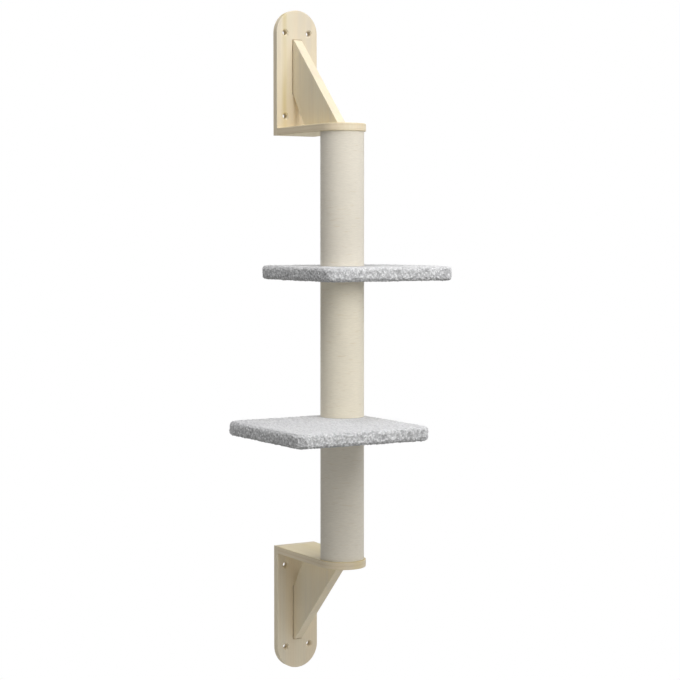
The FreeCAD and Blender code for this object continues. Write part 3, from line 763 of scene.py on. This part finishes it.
def wrapped_cover(level, plush):
    """The plush over a platform's top and sides, turned under to a hem, as one closed cloth."""
    low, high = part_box(f"{level}_platform_cover")
    board_low, board_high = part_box(f"{level}_platform_board")
    panel_low, panel_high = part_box(f"{level}_platform_underside")
    axis = post_axis()
    begin_alone()
    bpy.ops.mesh.primitive_cube_add(size=1, location=(low + high) / 2)
    thing = bpy.context.object
    thing.scale = high - low
    bpy.ops.object.transform_apply(location=True, scale=True)
    bpy.ops.object.mode_set(mode="EDIT")
    pick(thing, lambda e: abs(e.verts[0].co.z - e.verts[1].co.z) > MM, "EDGE")
    bpy.ops.mesh.bevel(offset=plush.corner, segments=10, affect="EDGES")
    pick(thing, lambda e: abs(e.verts[0].co.z - e.verts[1].co.z) < MM and len(e.link_faces) == 2
         and any(abs(f.normal.z) > 0.9 for f in e.link_faces), "EDGE")
    bpy.ops.mesh.bevel(offset=plush.edge, segments=7, affect="EDGES")
    bpy.ops.object.mode_set(mode="OBJECT")
    add_modifier(thing, "REMESH", "even_grid", mode="VOXEL", voxel_size=plush.grid, use_smooth_shade=True)
    bpy.ops.object.mode_set(mode="EDIT")
    left, right = panel_low.x - HEM_GAP, panel_high.x + HEM_GAP
    front, back = panel_low.y - HEM_GAP, panel_high.y + HEM_GAP

    def within(point):
        return left < point.x < right and front < point.y < back

    pick(thing, lambda f: f.normal.z < -0.9 and within(f.calc_center_median()), "FACE")
    bpy.ops.mesh.delete(type="FACE")
    pick(thing, lambda f: f.normal.z > 0.9 and (f.calc_center_median() - axis).xy.length < STUD_HOLE, "FACE")
    bpy.ops.mesh.delete(type="FACE")
    bpy.ops.object.mode_set(mode="OBJECT")
    raise_pile(thing, axis, plush, plush.pile)
    # The hem's cut edge, the inner side of the cloth round the board, and the edge round the stud.
    middle = (low + high) / 2
    bpy.ops.object.mode_set(mode="EDIT")
    pick(thing, lambda e: e.is_boundary and e.verts[0].co.z < middle.z, "EDGE")
    extrude((0, 0, board_low.z - low.z - COVER_GAP))
    grow((1, 1, 0), (middle.x, middle.y, board_low.z - COVER_GAP))
    extrude()
    wide = (board_high.x - board_low.x + 2 * COVER_GAP) / (right - left)
    deep = (board_high.y - board_low.y + 2 * COVER_GAP) / (back - front)
    grow((wide, deep, 1), middle)
    round_off(thing, board_low, board_high, plush.corner - (board_low.x - low.x))
    extrude((0, 0, board_high.z - board_low.z + 2 * COVER_GAP))
    pick(thing, lambda e: e.is_boundary and (e.verts[0].co - axis).xy.length < 2 * STUD_HOLE, "EDGE")
    extrude((0, 0, -MM))
    grow((1, 1, 0), (axis.x, axis.y, board_high.z + COVER_GAP))
    close_open_edges(thing)
    return thing


def underside_panel(level, plush):
    """The flat plush panel under the board, pile downwards, between the hems."""
    low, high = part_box(f"{level}_platform_underside")
    axis = post_axis()
    spacing = 1.35 * MM
    cells = [round((high[k] - low[k]) / spacing) for k in (0, 1)]
    begin_alone()
    bpy.ops.mesh.primitive_grid_add(
        x_subdivisions=cells[0], y_subdivisions=cells[1], size=1,
        location=((low.x + high.x) / 2, (low.y + high.y) / 2, low.z),
    )
    thing = bpy.context.object
    thing.scale = (high.x - low.x, high.y - low.y, 1)
    bpy.ops.object.transform_apply(location=True, scale=True)
    bpy.ops.object.mode_set(mode="EDIT")
    bpy.ops.mesh.select_all(action="SELECT")
    bpy.ops.mesh.flip_normals()
    pick(thing, lambda f: (f.calc_center_median() - axis).xy.length < STUD_HOLE, "FACE")
    bpy.ops.mesh.delete(type="FACE")
    bpy.ops.object.mode_set(mode="OBJECT")
    panel_pile = 0.7 * plush.pile
    raise_pile(thing, axis, plush, panel_pile)
    bpy.ops.object.mode_set(mode="EDIT")
    pick(thing, lambda e: e.is_boundary, "EDGE")
    extrude((0, 0, high.z - low.z))
    grow((1, 1, 0), (0, 0, high.z))
    close_open_edges(thing)
    return thing


# ---------------------------------------------------------------- operators


class CATTREE_OT_shared_effects(bpy.types.Operator):
    """Make the node groups that the finishes share"""

    bl_idname = "cat_tree.shared_effects"
    bl_label = "Shared Effects"

    def execute(self, context):
        make_shared_effects()
        return {"FINISHED"}


class CATTREE_OT_brackets(bpy.types.Operator):
    """Finish the two wall brackets: plate, shelf and gusset in pale wood, each cut from its own board"""

    bl_idname = "cat_tree.brackets"
    bl_label = "Wall Brackets"

    def execute(self, context):
        wood = context.scene.cat_tree_wood
        for k, level in enumerate(BRACKETS):
            plate_streak, shelf_streak = STREAKS[level]
            boards = {
                "wall_plate": (UPRIGHT, (0.3 * k, 0.02 * k, 0.6 * k), 0.6, 0.1, 0.0, plate_streak),
                "shelf": (LYING_OUT, (0.11 + 0.2 * k, 0.05, 0.3 * k), 0.8, 0.3, 0.6, shelf_streak),
                "gusset": (STRUT, (0.23 + 0.15 * k, 0.09, 0.5 * k), 0.4, 0.0, 0.1, None),
            }
            for board, (order, offset, *rest) in boards.items():
                finish = pale_wood(f"{level}_{board}_wood", order, offset, wood, *rest)
                paint_node(f"{level}_{board}", finish)
        return {"FINISHED"}


class CATTREE_OT_coverings(bpy.types.Operator):
    """Weave the sisal cloth round the three post sections"""

    bl_idname = "cat_tree.coverings"
    bl_label = "Post Coverings"

    def execute(self, context):
        cloth = context.scene.cat_tree_cloth
        axis = post_axis()
        for name, painted_light_tone in zip(SECTIONS, SECTION_LIGHT_TONES):
            finish = sisal_cloth(f"{name}_sisal", axis, cloth, painted_light_tone)
            thing = woven_section(name, cloth)
            node = f"{name}_post_sleeve"
            finish_piece(thing, f"{name}_post_covering", finish, "frame", "sisal_cloth", node)
        return {"FINISHED"}


class CATTREE_OT_platform_covers(bpy.types.Operator):
    """Wrap the plush over the two platforms and turn it under"""

    bl_idname = "cat_tree.platform_covers"
    bl_label = "Platform Covers"

    def execute(self, context):
        plush = context.scene.cat_tree_plush
        finish = grey_plush("curly_grey_plush", plush)
        for level in PLATFORMS:
            thing = wrapped_cover(level, plush)
            node = f"{level}_platform_cover"
            finish_piece(thing, f"{level}_platform_plush", finish, f"{level}_platform", "grey_plush", node)
        return {"FINISHED"}


class CATTREE_OT_underside_panels(bpy.types.Operator):
    """Lay the plush panels under the two platforms"""

    bl_idname = "cat_tree.underside_panels"
    bl_label = "Underside Panels"

    def execute(self, context):
        plush = context.scene.cat_tree_plush
        finish = bpy.data.materials["curly_grey_plush"]
        for level in PLATFORMS:
            thing = underside_panel(level, plush)
            node = f"{level}_platform_underside"
            finish_piece(thing, f"{level}_platform_panel", finish, f"{level}_platform", "grey_plush", node)
        return {"FINISHED"}


class CATTREE_OT_inner_parts(bpy.types.Operator):
    """Finish the parts inside: tubes, plugs, boards, dowels and fastenings"""

    bl_idname = "cat_tree.inner_parts"
    bl_label = "Inner Parts"

    def execute(self, context):
        wood = context.scene.cat_tree_wood
        steel = zinc_steel("zinc_plated_steel", context.scene.cat_tree_metal)
        tube = paperboard("wound_paperboard", post_axis())
        plug = plain_wood("turned_plug_wood", tint(214, 186, 142), tint(178, 142, 96), wood, UPRIGHT, 0.003)
        deck = plain_wood("deck_wood", tint(206, 178, 134), tint(172, 138, 92), wood, (1, 2, 0), 0.004)
        dowel = plain_wood("beech_dowel", tint(222, 196, 154), tint(186, 152, 108), wood, UPRIGHT, 0.0012)
        for section in SECTIONS:
            paint_node(f"{section}_post_tube", tube)
            paint_node(f"{section}_post_upper_plug", plug)
            paint_node(f"{section}_post_lower_plug", plug)
            paint_node(f"{section}_post_tee_nuts", steel)
        for level in PLATFORMS:
            paint_node(f"{level}_platform_board", deck)
            paint_node(f"{level}_platform_staples", steel)
            paint_node(f"{level}_platform_stud", steel)
        for level in BRACKETS:
            for fastening in ("bracket_screws", "shelf_tee_nut", "shelf_stud"):
                paint_node(f"{level}_{fastening}", steel)
            paint_node(f"{level}_gusset_dowels", dowel)
        return {"FINISHED"}


class CATTREE_OT_stage(bpy.types.Operator):
    """Set up the floor, the light and the camera"""

    bl_idname = "cat_tree.stage"
    bl_label = "Stage"

    def execute(self, context):
        scene = context.scene
        stage = scene.cat_tree_stage
        scene.view_settings.view_transform = "Standard"
        begin_alone()
        lay_floor(stage)
        light_world(scene, stage)
        hang_lamps(stage)
        place_camera(scene, stage)
        return {"FINISHED"}


def seen_rays(tree):
    """1 for rays of the camera, of gloss and of glass, which see a white room."""
    path = add(tree, "LightPath").outputs
    seen = maths(tree, "ADD", path["Is Camera Ray"], path["Is Glossy Ray"])
    return maths(tree, "MINIMUM", maths(tree, "ADD", seen, path["Is Transmission Ray"]), 1.0)


def lay_floor(stage):
    """A pale floor that fades to white away from the object, and is clear from below."""
    middle = post_axis()
    bpy.ops.mesh.primitive_plane_add(size=14, location=(0, 0, stage.floor_height))
    floor = bpy.context.object
    floor.name = "floor"
    bpy.ops.object.transform_apply(location=True)
    made, tree, surface = new_material("pale_floor", base_color=tint(226, 226, 224), roughness=0.8)
    place = vectors(tree, "SUBTRACT", object_place(tree), (middle.x, middle.y, stage.floor_height))
    away = add(tree, "VectorMath", {0: place}, operation="LENGTH").outputs["Value"]
    white = add(tree, "Emission", {"Color": (1, 1, 1), "Strength": 1.0}).outputs[0]
    share = maths(tree, "MULTIPLY", seen_rays(tree), span(tree, away, 0.3, 1.2, 0.5, 1.0))
    output = next(n for n in tree.nodes if n.type == "OUTPUT_MATERIAL")
    shader = output.inputs[0].links[0].from_socket
    mixed = add(tree, "MixShader", {0: share, 1: shader, 2: white}).outputs[0]
    clear = add(tree, "BsdfTransparent").outputs[0]
    from_below = add(tree, "NewGeometry").outputs["Backfacing"]
    feed(tree, output.inputs[0], add(tree, "MixShader", {0: from_below, 1: mixed, 2: clear}).outputs[0])
    floor.data.materials.append(made)


def light_world(scene, stage):
    """Even light all round, and plain white wherever the room itself is seen."""
    world = bpy.data.worlds.new("studio")
    scene.world = world
    world.use_nodes = True
    tree = world.node_tree
    tree.nodes.clear()
    soft = add(tree, "Background", {"Color": (1, 1, 1), "Strength": stage.sky}).outputs[0]
    white = add(tree, "Background", {"Color": (1, 1, 1), "Strength": 1.0}).outputs[0]
    mixed = add(tree, "MixShader", {0: seen_rays(tree), 1: soft, 2: white}).outputs[0]
    add(tree, "OutputWorld", {"Surface": mixed})


def hang_lamp(name, offset, size, power):
    """A soft square lamp hung at an offset from a point of the post and turned to it."""
    aim = post_axis() + Vector((0, 0, -0.2))
    lamp = bpy.data.lights.new(name, "AREA")
    lamp.shape = "SQUARE"
    lamp.size = size
    lamp.energy = power
    made = bpy.data.objects.new(name, lamp)
    bpy.context.scene.collection.objects.link(made)
    made.location = aim + Vector(offset)
    made.rotation_euler = Vector(offset).to_track_quat("Z", "Y").to_euler()


def hang_lamps(stage):
    hang_lamp("front_lamp", (0.09, -1.0, 0.56), 0.8, stage.front_power)
    hang_lamp("high_lamp", (0.17, -2.0, 2.6), 1.3, stage.high_power)
    hang_lamp("left_lamp", (-0.8, -0.21, 3.09), 1.3, stage.left_power)
    hang_lamp("right_lamp", (2.41, -0.43, 2.06), 1.3, stage.right_power)
    hang_lamp("back_lamp", (0.9, 2.2, 0.38), 0.5, stage.back_power)


def place_camera(scene, stage):
    data = bpy.data.cameras.new("camera")
    data.sensor_width = 36
    data.lens = stage.lens
    data.shift_y = stage.lift
    data.clip_start, data.clip_end = 0.05, 60
    camera = bpy.data.objects.new("camera", data)
    scene.collection.objects.link(camera)
    camera.location = stage.camera_place
    camera.rotation_euler = (math.pi / 2 + stage.camera_tilt, 0, stage.camera_turn)
    scene.camera = camera


class VIEW3D_PT_cat_tree(bpy.types.Panel):
    """Lists the steps and their settings in the sidebar"""

    bl_label = "Cat Tree"
    bl_space_type = "VIEW_3D"
    bl_region_type = "UI"
    bl_category = "Cat Tree"

    def draw(self, context):
        for step in STEPS:
            self.layout.operator(step.bl_idname)
        for name in SETTINGS:
            column = self.layout.box().column()
            settings = getattr(context.scene, name)
            for field in settings.bl_rna.properties.keys():
                if field not in ("rna_type", "name"):
                    column.prop(settings, field)


SETTINGS = {
    "cat_tree_wood": WoodSettings,
    "cat_tree_cloth": ClothSettings,
    "cat_tree_plush": PlushSettings,
    "cat_tree_metal": MetalSettings,
    "cat_tree_stage": StageSettings,
}
STEPS = (
    CATTREE_OT_stage,
    CATTREE_OT_shared_effects,
    CATTREE_OT_brackets,
    CATTREE_OT_coverings,
    CATTREE_OT_platform_covers,
    CATTREE_OT_underside_panels,
    CATTREE_OT_inner_parts,
)
CLASSES = (*SETTINGS.values(), *STEPS, VIEW3D_PT_cat_tree)


def register():
    for made in CLASSES:
        bpy.utils.register_class(made)
    for name, made in SETTINGS.items():
        setattr(bpy.types.Scene, name, PointerProperty(type=made))


def unregister():
    for name in SETTINGS:
        delattr(bpy.types.Scene, name)
    for made in reversed(CLASSES):
        bpy.utils.unregister_class(made)


def main():
    register()
    for step in STEPS:
        family, name = step.bl_idname.split(".")
        getattr(getattr(bpy.ops, family), name)()


if __name__ == "__main__":
    main()
